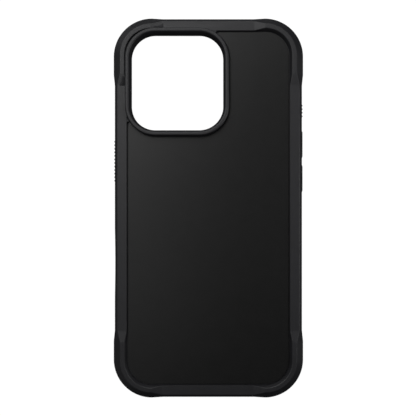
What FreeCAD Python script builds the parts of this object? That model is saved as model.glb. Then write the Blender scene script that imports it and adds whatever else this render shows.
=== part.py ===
import FreeCAD, Part
import os
import re
import Sketcher

# A protective case for a slab phone: a soft bumper moulded round a rigid tray, a thin hard back
# plate over the magnets, and four side buttons that pass a press on to the phone's own buttons.
#
# Frame: millimetres. +Z comes out of the back, +Y points to the camera end and +X is to the
# right as seen from the back. The origin lies in the plane of the front lip, below the middle.

SIZES = {
    # the phone that the case holds
    "device_length": 149.6,
    "device_width": 71.5,
    "device_depth": 8.25,
    "device_corner": 12.5,
    "fit_gap": 0.15,
    # how far a cut runs on past what it cuts
    "past": 1.0,
    # bumper, seen in plan and in section
    "side_wall": 2.46,
    "lip_height": 1.3,
    "lip_overhang": 1.0,
    "lip_bevel": 1.1,
    "section_depth": 6.5,
    "corner_bump": 0.65,
    "corner_ease": 0.3,
    "corner_straight": 7.55,
    "ramp_length": 4.6,
    "ridge_rise": 0.6,
    "band_bevel": 1.15,
    "corner_bevel": 2.95,
    "corner_drop": 2.65,
    "edge_drop": 0.2,
    "edge_run": 0.35,
    "ridge_width": 1.5,
    "ridge_end": 4.3,
    "ridge_foot": 5.55,
    "ridge_root": 0.1,
    "band_overhang": 2.6,
    # layers behind the phone
    "lining_thickness": 0.3,
    "lining_inset": 0.5,
    "tray_floor": 1.2,
    "tray_wall": 0.7,
    "tray_low": 2.6,
    "glue_thickness": 0.12,
    "glue_margin": 1.0,
    "plate_thickness": 0.6,
    "plate_recess": 0.65,
    "plate_gap": 0.5,
    # camera window and the rim that stands round it
    "camera_width": 37.6,
    "camera_length": 39.1,
    "camera_corner": 9.85,
    "camera_side_margin": 4.4,
    "camera_top_margin": 4.1,
    "rim_wall": 2.4,
    "rim_height": 2.45,
    "rim_round": 0.8,
    "skirt_wall": 1.3,
    "rim_gap": 0.35,
    # magnets under the back plate
    "magnet_outer": 27.5,
    "magnet_inner": 23.2,
    "magnet_thickness": 0.5,
    "magnet_slit": 0.25,
    "magnet_count": 18,
    "magnet_clearance": 5.0,
    "recess_clearance": 0.15,
    "yoke_thickness": 0.15,
    "bar_width": 4.0,
    "bar_length": 10.0,
    "bar_corner": 0.6,
    "bar_clearance": 3.0,
    # corner cushions between the tray and the bumper
    "cushion_thickness": 0.9,
    "cushion_low": 3.2,
    "cushion_height": 6.4,
    "cushion_sweep": 80.0,
    # side buttons
    "cap_height": 4.6,
    "cap_gap": 0.15,
    "cap_corner": 1.2,
    "cap_proud": 0.82,
    "rib_proud": 0.94,
    "cap_chamfer": 0.3,
    "rib_pitch": 1.48,
    "rib_height": 0.6,
    "rib_flat": 0.12,
    "flange_margin": 0.8,
    "flange_corner": 2.0,
    "flange_thickness": 0.35,
    "flange_gap": 0.05,
    "spring_thickness": 0.55,
    "foot_height": 2.2,
    "foot_corner": 0.5,
    "foot_inset": 1.5,
    "foot_reach": 0.45,
    "foot_gap": 0.15,
    "power_ribs": 12,
    "action_ribs": 4,
    "volume_length": 11.2,
    "volume_gap": 2.95,
    "power_drop": 55.3,
    "action_drop": 34.4,
    "volume_drop": 48.3,
    # openings in the walls
    "port_width": 12.6,
    "port_height": 6.4,
    "slot_flat": 0.1,
    "sound_width": 10.5,
    "sound_height": 1.8,
    "sound_spacing": 17.0,
    "microphone_width": 2.4,
    "control_length": 22.0,
    "control_height": 5.2,
    "control_drop": 97.1,
    "scoop_chord": 30.0,
    "scoop_depth": 0.25,
}

WORKED_OUT = {
    # levels, counted up from the front lip
    "device_back": "lip_height + device_depth",
    "tray_under": "device_back + lining_thickness",
    "tray_top": "tray_under + tray_floor",
    "plate_under": "tray_top + glue_thickness",
    "plate_top": "plate_under + plate_thickness",
    "band_top": "plate_top + plate_recess",
    "ridge_top": "band_top + ridge_rise",
    "rim_top": "plate_top + rim_height",
    "button_level": "lip_height + device_depth / 2",
    # plan sizes
    "cavity_half_width": "device_width / 2 + fit_gap",
    "cavity_half_length": "device_length / 2 + fit_gap",
    "cavity_corner": "device_corner + fit_gap",
    "side_face": "cavity_half_width + side_wall",
    "rib_base": "side_face + rib_proud - rib_height",
    "end_face": "cavity_half_length + side_wall",
    "corner_x": "cavity_half_width - cavity_corner",
    "corner_y": "cavity_half_length - cavity_corner",
    "side_ramp_high": "corner_y - corner_straight",
    "side_ramp_low": "side_ramp_high - ramp_length",
    "end_ramp_low": "corner_x - ramp_length",
    # camera window
    "camera_left": "camera_side_margin - cavity_half_width",
    "camera_right": "camera_left + camera_width",
    "camera_high": "cavity_half_length - camera_top_margin",
    "camera_low": "camera_high - camera_length",
    # magnets
    "magnet_y": "camera_low - rim_wall - magnet_clearance - magnet_outer",
    "recess_floor": "tray_top - yoke_thickness - magnet_thickness",
    "bar_high": "magnet_y - magnet_outer - bar_clearance",
    # side walls, counted out from the middle
    "tray_face": "cavity_half_width + tray_wall",
    "flange_under": "tray_face + spring_thickness",
    "flange_over": "flange_under + flange_thickness",
    "recess_roof": "flange_over + flange_gap",
    "foot_end": "flange_under - spring_thickness - foot_reach",
    "control_y": "device_length / 2 - control_drop",
    "scoop_radius": "scoop_chord * scoop_chord / (8 * scoop_depth) + scoop_depth / 2",
}

# the angle from a corner's first straight side at which its cushion begins
CUSHION_START = 5.0
# millimetres within which two places count as one
SAME_PLACE = 0.001

doc = FreeCAD.newDocument("phone_case")
sizes = doc.addObject("Spreadsheet::Sheet", "Sizes")
worked = doc.addObject("Spreadsheet::Sheet", "Worked")
worked_names = []


def fill_sizes():
    """Writes each driving size to the first sheet, with its name beside it."""
    for row, (name, value) in enumerate(SIZES.items(), start=1):
        sizes.set(f"A{row}", name)
        sizes.set(f"B{row}", str(value))
        sizes.setAlias(f"B{row}", name)
    sizes.recompute()


def from_sheets(formula, prefix="Worked."):
    """Puts the name of its sheet before each name in a formula."""

    def place(match):
        name = match.group()
        if name in SIZES:
            return "Sizes." + name
        return prefix + name if name in worked_names else name

    return re.sub(r"[a-z]\w*", place, formula)


def work_out(name, formula):
    """Writes a formula to the second sheet under a name, and returns its value."""
    if name in SIZES or name in worked_names:
        raise ValueError(f"{name} is written twice")
    row = len(worked_names) + 1
    worked.set(f"A{row}", name)
    worked.set(f"B{row}", "=" + from_sheets(formula, prefix=""))
    worked.setAlias(f"B{row}", name)
    worked.recompute()
    worked_names.append(name)
    return float(worked.get(f"B{row}"))


def bind(feature, setting, formula):
    """Ties one property of a feature to the sheets."""
    feature.setExpression(setting, from_sheets(formula))


def new_body(name):
    """Starts a sub-part as an empty body."""
    body = doc.addObject("PartDesign::Body", name)
    body.Label = name
    body.AllowCompound = True
    return body


def place_on(feature, body, role, across="0", along="0", level="0"):
    """Attaches a sketch or a primitive to one of its body's own origin planes."""
    plane = next(item for item in body.Origin.OriginFeatures if item.Role == role)
    feature.AttachmentSupport = [(plane, "")]
    feature.MapMode = "FlatFace"
    for letter, formula in (("x", across), ("y", along), ("z", level)):
        bind(feature, f".AttachmentOffset.Base.{letter}", formula)


def new_sketch(body, name, role, level, across="0", along="0"):
    sketch = body.newObject("Sketcher::SketchObject", name)
    place_on(sketch, body, role, across, along, level)
    return sketch


def number_of(name):
    """Reads a value back from the second sheet."""
    return float(worked.get(name))


def add_size(sketch, kind, geometry, cell):
    """Adds a dimension to a sketch and ties it to a cell of the second sheet."""
    index = sketch.addConstraint(Sketcher.Constraint(kind, *geometry, number_of(cell)))
    sketch.renameConstraint(index, cell)
    bind(sketch, f"Constraints.{cell}", cell)


def rounded_rectangle(body, name, role, level, sides, corner):
    """Draws a rectangle with round corners from its left, right, low and high sides."""
    cells = [f"{name}_{side}_side" for side in ("left", "right", "low", "high")]
    left, right, low, high = (work_out(cell, formula) for cell, formula in zip(cells, sides))
    radius = work_out(f"{name}_arc", corner)
    sketch = new_sketch(body, name, role, level)
    inner = (left + radius, right - radius, low + radius, high - radius)
    corners = (
        (inner[1], inner[2], -90),
        (inner[1], inner[3], 0),
        (inner[0], inner[3], 90),
        (inner[0], inner[2], 180),
    )
    ends = (
        ((inner[0], low), (inner[1], low)),
        ((right, inner[2]), (right, inner[3])),
        ((inner[1], high), (inner[0], high)),
        ((left, inner[3]), (left, inner[2])),
    )
    for start, finish in ends:
        sketch.addGeometry(Part.LineSegment(FreeCAD.Vector(*start, 0), FreeCAD.Vector(*finish, 0)))
    for centre_x, centre_y, start in corners:
        circle = Part.Circle(FreeCAD.Vector(centre_x, centre_y, 0), FreeCAD.Vector(0, 0, 1), radius)
        turn = FreeCAD.Units.Quantity(f"{start} deg").getValueAs("rad").Value
        quarter = FreeCAD.Units.Quantity("90 deg").getValueAs("rad").Value
        sketch.addGeometry(Part.ArcOfCircle(circle, turn, turn + quarter))
    for line in range(4):
        arc = 4 + line
        sketch.addConstraint(Sketcher.Constraint("Tangent", line, 2, arc, 1))
        sketch.addConstraint(Sketcher.Constraint("Tangent", arc, 2, (line + 1) % 4, 1))
        direction = "Horizontal" if line % 2 == 0 else "Vertical"
        sketch.addConstraint(Sketcher.Constraint(direction, line))
    for arc in (5, 6, 7):
        sketch.addConstraint(Sketcher.Constraint("Equal", 4, arc))
    add_size(sketch, "DistanceX", (-1, 1, 3, 1), cells[0])
    add_size(sketch, "DistanceX", (-1, 1, 1, 1), cells[1])
    add_size(sketch, "DistanceY", (-1, 1, 0, 1), cells[2])
    add_size(sketch, "DistanceY", (-1, 1, 2, 1), cells[3])
    add_size(sketch, "Radius", (4,), f"{name}_arc")
    return sketch


def polygon(body, name, role, level, points, across="0"):
    """Draws a closed outline with straight sides; a height of None lies on the sketch's own axis."""
    sketch = new_sketch(body, name, role, level, across)
    values = []
    for index, (side, height) in enumerate(points):
        up = 0.0 if height is None else work_out(f"{name}_up_{index}", height)
        values.append(FreeCAD.Vector(work_out(f"{name}_out_{index}", side), up, 0))
    for index, value in enumerate(values):
        sketch.addGeometry(Part.LineSegment(value, values[(index + 1) % len(values)]))
    for index, (_, height) in enumerate(points):
        following = (index + 1) % len(points)
        sketch.addConstraint(Sketcher.Constraint("Coincident", index, 2, following, 1))
        add_size(sketch, "DistanceX", (-1, 1, index, 1), f"{name}_out_{index}")
        if height is None:
            sketch.addConstraint(Sketcher.Constraint("PointOnObject", index, 1, -1))
        else:
            add_size(sketch, "DistanceY", (-1, 1, index, 1), f"{name}_up_{index}")
    return sketch


def extrude(body, kind, sketch, length, backward=False, both_ways=False):
    """Pads or pockets a sketch by a length."""
    feature = body.newObject(f"PartDesign::{kind}", f"{sketch.Name}_{kind.lower()}")
    feature.Profile = sketch
    feature.Reversed = backward
    feature.SideType = "Symmetric" if both_ways else "One side"
    bind(feature, "Length", length)
    return feature


def pad(body, sketch, length, backward=False):
    """Adds a sketch to the body as a block of one length."""
    return extrude(body, "Pad", sketch, length, backward)


def pocket(body, sketch, length, backward=False, both_ways=False):
    """Cuts a sketch out of the body to one length."""
    return extrude(body, "Pocket", sketch, length, backward, both_ways)


def cylinder(body, kind, name, settings, across="0", along="0", level="0", turn=0.0):
    """Adds or takes away a cylinder that stands on the XY plane."""
    feature = body.newObject(f"PartDesign::{kind}Cylinder", name)
    place_on(feature, body, "XY_Plane", across, along, level)
    if turn:
        bind(feature, ".AttachmentOffset.Rotation.Angle", str(turn))
    for setting, formula in settings.items():
        bind(feature, setting, formula)
    return feature


def mirror_to_quarters(body, name, features):
    """Repeats features across the YZ plane, the XZ plane and both."""
    transform = body.newObject("PartDesign::MultiTransform", name)
    transform.Originals = features
    mirrors = []
    for role in ("YZ_Plane", "XZ_Plane"):
        mirror = body.newObject("PartDesign::Mirrored", f"{name}_{role[:2].lower()}")
        plane = next(item for item in body.Origin.OriginFeatures if item.Role == role)
        mirror.MirrorPlane = (plane, [""])
        mirrors.append(mirror)
    transform.Transformations = mirrors
    body.Tip = transform
    return transform


def edges_at(shape, level, axis="z"):
    """Names the edges whose points all lie at one place along an axis."""
    names = []
    for number, edge in enumerate(shape.Edges, start=1):
        box = edge.BoundBox
        low, high = getattr(box, f"{axis.upper()}Min"), getattr(box, f"{axis.upper()}Max")
        if abs(low - level) < SAME_PLACE and abs(high - level) < SAME_PLACE:
            names.append(f"Edge{number}")
    return names


def dress(body, kind, name, setting, formula, level, axis="z"):
    """Rounds or bevels every edge of a body, already worked out, at one level."""
    base = body.Tip
    feature = body.newObject(f"PartDesign::{kind}", name)
    feature.Base = (base, edges_at(base.Shape, level, axis))
    bind(feature, setting, formula)
    return feature


def case_outline(body, name, level, inset):
    """Draws the phone's rounded outline, moved in all round by an inset."""
    half_width = f"(cavity_half_width - ({inset}))"
    half_length = f"(cavity_half_length - ({inset}))"
    sides = (f"-{half_width}", half_width, f"-{half_length}", half_length)
    return rounded_rectangle(body, name, "XY_Plane", level, sides, f"cavity_corner - ({inset})")


def camera_outline(body, name, level, margin):
    """Draws the camera window's rounded outline, moved out all round by a margin."""
    sides = (
        f"camera_left - ({margin})",
        f"camera_right + ({margin})",
        f"camera_low - ({margin})",
        f"camera_high + ({margin})",
    )
    return rounded_rectangle(body, name, "XY_Plane", level, sides, f"camera_corner + ({margin})")


def wall_outline(body, name, role, level, centre, height, width, tall, corner):
    """Draws a rounded opening or boss on an upright plane, about a centre and a height."""
    sides = (
        f"{centre} - ({width}) / 2",
        f"{centre} + ({width}) / 2",
        f"{height} - ({tall}) / 2",
        f"{height} + ({tall}) / 2",
    )
    return rounded_rectangle(body, name, role, level, sides, corner)


class Button:
    """One side button: where it sits, how long it is and how many ribs it has."""

    def __init__(self, name, side, centre, length, ribs=None):
        self.name = name
        self.side = side
        self.centre = f"{name}_y"
        self.length = f"{name}_length_y"
        self.ribs = ribs
        work_out(self.centre, centre)
        work_out(self.length, length)

    def outline(self, body, part, plane, margin, height, corner):
        """Draws the button's rounded outline on an upright plane, with a margin."""
        level = plane if self.side > 0 else f"-({plane})"
        width = f"{self.length} + 2 * ({margin})"
        name = f"{self.name}_{part}"
        return wall_outline(
            body, name, "YZ_Plane", level, self.centre, "button_level", width, height, corner
        )

    def boss(self, body, part, inner, outer, margin, height, corner):
        """Pads the button's outline from one distance from the middle to another."""
        sketch = self.outline(body, part, inner, margin, height, corner)
        return pad(body, sketch, f"({outer}) - ({inner})", backward=self.side < 0)

    def hole(self, body, part, inner, outer, margin, height, corner):
        """Cuts the button's outline from one distance from the middle to another."""
        sketch = self.outline(body, part, inner, margin, height, corner)
        return pocket(body, sketch, f"({outer}) - ({inner})", backward=self.side > 0)


def section_points(face, kind, origin="0"):
    """
    Lists the corners of the bumper's section, from the front lip round the outside to the back.

    The band along the sides is low with a narrow bevel. The corners are higher, stand a
    little proud and have a wide bevel and a ridge that falls away to the inside.
    """
    band = (
        ("section_depth", None),
        ("lip_bevel", None),
        ("0", "lip_height"),
        ("0", "band_top - band_bevel - edge_drop / 2"),
        ("band_bevel", "band_top - edge_drop"),
        ("band_bevel + edge_run", "band_top"),
        ("ridge_end", "band_top"),
        ("ridge_end + past", "band_top"),
        ("section_depth", "band_top"),
    )
    corner = (
        ("section_depth", None),
        ("lip_bevel + corner_ease", None),
        ("0", "lip_height + corner_ease"),
        ("0", "ridge_top - corner_drop"),
        ("corner_bevel", "ridge_top - edge_drop"),
        ("corner_bevel + edge_run", "ridge_top"),
        ("corner_bevel + edge_run + ridge_width", "ridge_top"),
        ("ridge_foot", "tray_top + ridge_root"),
        ("section_depth", "tray_top + ridge_root"),
    )
    points = band if kind == "band" else corner
    return [(f"{face} - {origin} - ({inset})", height) for inset, height in points]


def make_rail(body):
    """
    Builds one quarter of the bumper's rail and mirrors it to the other three.

    A straight run, a ramp and a raised corner follow each other from the middle of the side
    to the middle of the end; the ramps are ruled between the low and the high section.
    """
    side_bump = "side_face + corner_bump"
    end_bump = "end_face + corner_bump"
    side_low = polygon(
        body, "side_low", "XZ_Plane", "-side_ramp_low", section_points("side_face", "band")
    )
    side_high = polygon(
        body, "side_high", "XZ_Plane", "-side_ramp_high", section_points(side_bump, "corner")
    )
    turn = polygon(
        body, "turn", "XZ_Plane", "-corner_y", section_points(side_bump, "corner", "corner_x"), "corner_x"
    )
    end_high = polygon(
        body, "end_high", "YZ_Plane", "corner_x", section_points(end_bump, "corner")
    )
    end_low = polygon(
        body, "end_low", "YZ_Plane", "end_ramp_low", section_points("end_face", "band")
    )
    side_run = pad(body, side_low, "side_ramp_low")
    side_ramp = loft(body, "side_ramp", side_low, side_high)
    side_corner = pad(body, side_high, "corner_straight", backward=True)
    corner = body.newObject("PartDesign::Revolution", "corner_turn")
    corner.Profile = turn
    corner.ReferenceAxis = (turn, ["V_Axis"])
    corner.Angle = 90
    end_ramp = loft(body, "end_ramp", end_high, end_low)
    end_run = pad(body, end_low, "end_ramp_low", backward=True)
    quarter = [side_run, side_ramp, side_corner, corner, end_ramp, end_run]
    mirror_to_quarters(body, "rail", quarter)


def loft(body, name, start, finish):
    """Rules a solid between two sections."""
    feature = body.newObject("PartDesign::AdditiveLoft", name)
    feature.Profile = start
    feature.Sections = [finish]
    feature.Ruled = True
    return feature


def cut_wall_openings(body, part):
    """Cuts the charging port, the sound slots, the microphone hole and the camera control slot."""
    middle = "cavity_half_length + side_wall / 2"
    side = "-(cavity_half_width + side_wall / 2)"
    places = (
        ("port", "XZ_Plane", middle, "0", "port_width", "port_height"),
        ("sound_left", "XZ_Plane", middle, "-sound_spacing", "sound_width", "sound_height"),
        ("sound_right", "XZ_Plane", middle, "sound_spacing", "sound_width", "sound_height"),
        ("microphone", "XZ_Plane", f"-({middle})", "0", "microphone_width", "microphone_width"),
        ("control", "YZ_Plane", side, "control_y", "control_length", "control_height"),
    )
    for name, role, level, centre, width, tall in places:
        corner = f"({tall} - slot_flat) / 2"
        sketch = wall_outline(
            body, f"{part}_{name}", role, level, centre, "button_level", width, tall, corner
        )
        pocket(body, sketch, "side_wall + 4 * past", both_ways=True)


def make_bumper(buttons):
    """The soft outer moulding: front lip, rail, raised corners and camera rim."""
    body = new_body("bumper")
    make_rail(body)
    pocket(body, case_outline(body, "lip_opening", "0", "lip_overhang"), "lip_height", backward=True)
    cavity = case_outline(body, "cavity", "lip_height", "0")
    pocket(body, cavity, "tray_under - lip_height", backward=True)
    seat = case_outline(body, "tray_seat", "tray_low", "-tray_wall")
    pocket(body, seat, "tray_top - tray_low", backward=True)
    window = case_outline(body, "back_window", "tray_top", "band_overhang")
    pocket(body, window, "ridge_top - tray_top + past", backward=True)
    cushion_seat = cylinder(
        body,
        "Subtractive",
        "cushion_seat",
        cushion_settings("cavity_corner + tray_wall + cushion_thickness"),
        "corner_x",
        "corner_y",
        "cushion_low",
        turn=CUSHION_START,
    )
    mirror_to_quarters(body, "cushion_seats", [cushion_seat])
    pad(body, camera_outline(body, "rim", "tray_top", "rim_wall"), "rim_top - tray_top")
    pad(body, camera_outline(body, "skirt", "tray_under", "skirt_wall"), "tray_floor")
    hole = camera_outline(body, "camera_hole", "tray_under", "0")
    pocket(body, hole, "rim_top - tray_under + past", backward=True)
    for button in buttons:
        flange = "cap_height + 2 * (flange_margin + foot_gap)"
        margin = "flange_margin + foot_gap"
        corner = "flange_corner + cap_gap"
        button.hole(body, "flange_seat", "tray_face", "recess_roof", margin, flange, corner)
        opening = "cap_height + 2 * cap_gap"
        corner = "cap_corner + cap_gap"
        button.hole(body, "opening", "tray_face", "side_face + cap_proud + past", "cap_gap", opening, corner)
    scoop = {"Radius": "scoop_radius", "Height": "rim_top"}
    cylinder(
        body,
        "Subtractive",
        "control_scoop",
        scoop,
        "-(side_face - scoop_depth + scoop_radius)",
        "control_y",
    )
    cut_wall_openings(body, "bumper")
    return body


def cushion_settings(radius):
    """Lists the sizes of a cylinder that follows a cushion round its corner."""
    return {"Radius": radius, "Height": "cushion_height", "Angle": "cushion_sweep"}


def make_tray(buttons):
    """The rigid inner shell that carries the walls, the magnets and the lining."""
    body = new_body("tray")
    pad(body, case_outline(body, "tray_block", "tray_low", "-tray_wall"), "tray_top - tray_low")
    hollow = case_outline(body, "tray_hollow", "tray_low", "0")
    pocket(body, hollow, "tray_under - tray_low", backward=True)
    window = camera_outline(body, "tray_window", "tray_under", "skirt_wall")
    pocket(body, window, "tray_floor", backward=True)
    for button in buttons:
        margin, tall = "foot_gap - foot_inset", "foot_height + 2 * foot_gap"
        start, corner = "cavity_half_width - past", "foot_corner + foot_gap"
        button.hole(body, "foot_slot", start, "tray_face", margin, tall, corner)
    cut_wall_openings(body, "tray")
    depth = "tray_top - recess_floor"
    ring = annulus(body, "magnet_recess", "recess_floor", "recess_clearance")
    pocket(body, ring, depth, backward=True)
    bar = bar_outline(body, "bar_recess", "recess_floor", "recess_clearance")
    pocket(body, bar, depth, backward=True)
    return body


def annulus(body, name, level, margin):
    """Draws the magnets' ring between its two circles, wider by a margin on both sides."""
    sketch = new_sketch(body, name, "XY_Plane", level, "0", "magnet_y")
    for index, formula in enumerate((f"magnet_outer + {margin}", f"magnet_inner - {margin}")):
        radius = work_out(f"{name}_circle_{index}", formula)
        sketch.addGeometry(Part.Circle(FreeCAD.Vector(), FreeCAD.Vector(0, 0, 1), radius))
        sketch.addConstraint(Sketcher.Constraint("Coincident", index, 3, -1, 1))
        add_size(sketch, "Radius", (index,), f"{name}_circle_{index}")
    return sketch


def bar_outline(body, name, level, margin):
    """Draws the alignment magnet's bar below the ring."""
    sides = (
        f"-(bar_width / 2 + {margin})",
        f"bar_width / 2 + {margin}",
        f"bar_high - bar_length - {margin}",
        f"bar_high + {margin}",
    )
    return rounded_rectangle(body, name, "XY_Plane", level, sides, f"bar_corner + {margin}")


def make_plate():
    """The hard, flat back plate, cut round the camera rim."""
    body = new_body("back_plate")
    inset = "band_overhang + plate_gap"
    pad(body, case_outline(body, "plate_outline", "plate_under", inset), "plate_thickness")
    notch = camera_outline(body, "plate_notch", "plate_under", "rim_wall + rim_gap")
    pocket(body, notch, "plate_thickness", backward=True)
    return body


def make_glue():
    """The sheet of adhesive between the tray and the back plate."""
    body = new_body("plate_adhesive")
    inset = "band_overhang + plate_gap + glue_margin"
    pad(body, case_outline(body, "glue_outline", "tray_top", inset), "glue_thickness")
    notch = camera_outline(body, "glue_notch", "tray_top", "rim_wall + rim_gap + glue_margin")
    pocket(body, notch, "glue_thickness", backward=True)
    return body


def make_lining():
    """The soft sheet on the tray's floor that the phone's back rests against."""
    body = new_body("lining")
    pad(body, case_outline(body, "lining_outline", "device_back", "lining_inset"), "lining_thickness")
    window = camera_outline(body, "lining_window", "device_back", "lining_inset")
    pocket(body, window, "lining_thickness", backward=True)
    return body


def make_magnets():
    """The ring of arc magnets, its steel backing and the alignment bar."""
    yoke = new_body("magnet_yoke")
    pad(yoke, annulus(yoke, "yoke_ring", "recess_floor", "0"), "yoke_thickness")
    ring = new_body("magnet_ring")
    level = "recess_floor + yoke_thickness"
    pad(ring, annulus(ring, "magnet_band", level, "0"), "magnet_thickness")
    slit = rounded_rectangle(
        ring,
        "slit",
        "XY_Plane",
        level,
        ("magnet_inner - past", "magnet_outer + past", "-magnet_slit / 2", "magnet_slit / 2"),
        "magnet_slit / 4",
    )
    bind(slit, ".AttachmentOffset.Base.y", "magnet_y")
    cut = pocket(ring, slit, "magnet_thickness", backward=True)
    pattern = ring.newObject("PartDesign::PolarPattern", "slits")
    pattern.Originals = [cut]
    pattern.Axis = (slit, ["N_Axis"])
    pattern.Angle = 360
    bind(pattern, "Occurrences", "magnet_count")
    ring.Tip = pattern
    bar = new_body("alignment_magnet")
    pad(bar, bar_outline(bar, "bar_shape", "recess_floor", "0"), "tray_top - recess_floor")
    return [yoke, ring, bar]


def make_cushions():
    """Four gel inserts that fill the bumper's corners outside the tray."""
    bodies = []
    corners = (
        ("top_right", 1, 1, 0),
        ("top_left", -1, 1, 90),
        ("bottom_left", -1, -1, 180),
        ("bottom_right", 1, -1, 270),
    )
    for name, across, along, turn in corners:
        body = new_body(f"corner_cushion_{name}")
        place = (f"{across} * corner_x", f"{along} * corner_y", "cushion_low")
        outer = cushion_settings("cavity_corner + tray_wall + cushion_thickness")
        start = turn + CUSHION_START
        cylinder(body, "Additive", f"{name}_gel", outer, *place, turn=start)
        core = {"Radius": "cavity_corner + tray_wall", "Height": "cushion_height"}
        cylinder(body, "Subtractive", f"{name}_core", core, *place)
        bodies.append(body)
    return bodies


def make_cap(button):
    """The part of a button that the finger presses: ribbed, or flat with bevelled edges."""
    body = new_body(f"{button.name}_cap")
    outer = "side_face + rib_proud" if button.ribs else "side_face + cap_proud"
    button.boss(body, "cap_block", "flange_over", outer, "0", "cap_height", "cap_corner")
    work_out(f"{button.name}_cap_face", f"{button.side} * ({outer})")
    if button.ribs:
        cut_ribs(body, button)
    return body


def cut_ribs(body, button):
    """Cuts a row of V grooves across a cap, which leaves pointed ribs between them."""
    side = button.side
    low_end = f"({button.centre} - {button.length} / 2)"
    mouth = "(rib_base + 2 * rib_height)"
    half_mouth = "(rib_pitch - rib_flat)"
    points = (
        (f"{side} * rib_base", low_end),
        (f"{side} * {mouth}", f"{low_end} + {half_mouth}"),
        (f"{side} * {mouth}", f"{low_end} - {half_mouth}"),
    )
    groove = polygon(body, f"{button.name}_groove", "XY_Plane", "button_level - cap_height", points)
    cut = pocket(body, groove, "2 * cap_height", backward=True)
    pattern = body.newObject("PartDesign::LinearPattern", f"{button.name}_grooves")
    pattern.Originals = [cut]
    pattern.Direction = (groove, ["V_Axis"])
    bind(pattern, "Length", button.length)
    bind(pattern, "Occurrences", f"{button.ribs} + 1")
    body.Tip = pattern


def make_plunger(button):
    """The rigid flange and foot behind a cap; the bumper keeps the flange in."""
    body = new_body(f"{button.name}_plunger")
    tall = "cap_height + 2 * flange_margin"
    button.boss(body, "flange", "flange_under", "flange_over", "flange_margin", tall, "flange_corner")
    button.boss(body, "foot", "foot_end", "flange_under", "-foot_inset", "foot_height", "foot_corner")
    return body


def make_spring(button):
    """The silicone pad between a flange and the tray, which pushes the button back out."""
    body = new_body(f"{button.name}_return_pad")
    tall = "cap_height + 2 * flange_margin"
    button.boss(body, "pad_block", "tray_face", "flange_under", "flange_margin", tall, "flange_corner")
    margin, hole = "foot_gap - foot_inset", "foot_height + 2 * foot_gap"
    button.hole(body, "pad_hole", "tray_face", "flange_under", margin, hole, "foot_corner + foot_gap")
    return body


def finish_edges(bodies, buttons):
    """Rounds the top of the camera rim and bevels the faces of the smooth caps."""
    named = {body.Label: body for body in bodies}
    rim_top = number_of("rim_top")
    dress(named["bumper"], "Fillet", "rim_rounding", "Radius", "rim_round", rim_top)
    for button in buttons:
        if not button.ribs:
            cap = named[f"{button.name}_cap"]
            face = number_of(f"{button.name}_cap_face")
            dress(cap, "Chamfer", f"{button.name}_bevel", "Size", "cap_chamfer", face, axis="x")


def check(bodies):
    """Stops if any object failed or any sub-part has no sound solid."""
    for item in doc.Objects:
        if {"Invalid", "Error"} & set(item.State):
            raise RuntimeError(f"{item.Name} failed: {item.State}")
    for body in bodies:
        if body.Shape.isNull() or not body.Shape.isValid() or not body.Shape.Solids:
            raise RuntimeError(f"{body.Label} has no valid solid")


def write(bodies):
    """Exports each sub-part under its own label."""
    os.makedirs("parts", exist_ok=True)
    for body in bodies:
        body.Shape.exportStep(f"parts/{body.Label}.step")


fill_sizes()
for name, formula in WORKED_OUT.items():
    work_out(name, formula)
buttons = [
    Button("power", -1, "device_length / 2 - power_drop", "power_ribs * rib_pitch", "power_ribs"),
    Button("action", 1, "device_length / 2 - action_drop", "action_ribs * rib_pitch", "action_ribs"),
    Button("volume_up", 1, "device_length / 2 - volume_drop", "volume_length"),
    Button("volume_down", 1, "volume_up_y - volume_length - volume_gap", "volume_length"),
]
parts = [make_bumper(buttons), make_tray(buttons), make_plate(), make_glue(), make_lining()]
parts += make_magnets() + make_cushions()
for button in buttons:
    cap = make_cap(button)
    parts += [cap, make_plunger(button), make_spring(button)]
doc.recompute()
finish_edges(parts, buttons)
doc.recompute()
check(parts)
write(parts)
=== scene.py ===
import math
import bmesh
import bpy
import numpy as np
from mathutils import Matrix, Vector


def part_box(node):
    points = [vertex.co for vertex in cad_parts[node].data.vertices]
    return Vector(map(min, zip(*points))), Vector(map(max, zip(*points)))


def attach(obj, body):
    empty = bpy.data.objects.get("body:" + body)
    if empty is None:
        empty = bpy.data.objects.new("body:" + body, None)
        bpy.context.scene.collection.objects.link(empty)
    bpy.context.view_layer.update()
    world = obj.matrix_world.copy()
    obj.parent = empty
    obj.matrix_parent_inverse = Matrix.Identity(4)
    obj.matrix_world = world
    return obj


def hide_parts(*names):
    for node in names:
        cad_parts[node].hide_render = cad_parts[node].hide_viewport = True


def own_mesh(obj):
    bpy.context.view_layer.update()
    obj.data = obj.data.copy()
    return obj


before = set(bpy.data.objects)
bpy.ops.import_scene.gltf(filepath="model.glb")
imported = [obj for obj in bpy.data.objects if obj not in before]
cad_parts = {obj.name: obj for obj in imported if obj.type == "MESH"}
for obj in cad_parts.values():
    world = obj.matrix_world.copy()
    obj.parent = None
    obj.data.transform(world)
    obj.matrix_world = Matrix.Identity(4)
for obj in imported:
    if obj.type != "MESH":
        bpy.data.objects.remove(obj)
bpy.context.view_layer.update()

# A soft bumper swept round a phone, a hard back plate in its window and four side buttons, each
# built as a numpy surface in place of its CAD node. Frame: +Z comes out of the back, +Y points to
# the camera end and +X is to the right as seen from the back.

# ------------------------------------------------------------------ sizes, all in millimetres

MM = 0.001


def node_box(node):
    """A CAD node's lowest and highest corners, in millimetres."""
    low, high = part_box(node)
    return np.array(low) / MM, np.array(high) / MM


BUMPER_HIGH = node_box("bumper")[1]
TRAY_LOW, TRAY_HIGH = node_box("tray")
PLATE_LOW, PLATE_HIGH = node_box("back_plate")
LINING_LOW, LINING_HIGH = node_box("lining")
BUTTONS = ("power", "action", "volume_up", "volume_down")
CAP_BOXES = {name: node_box(f"{name}_cap") for name in BUTTONS}

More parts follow.
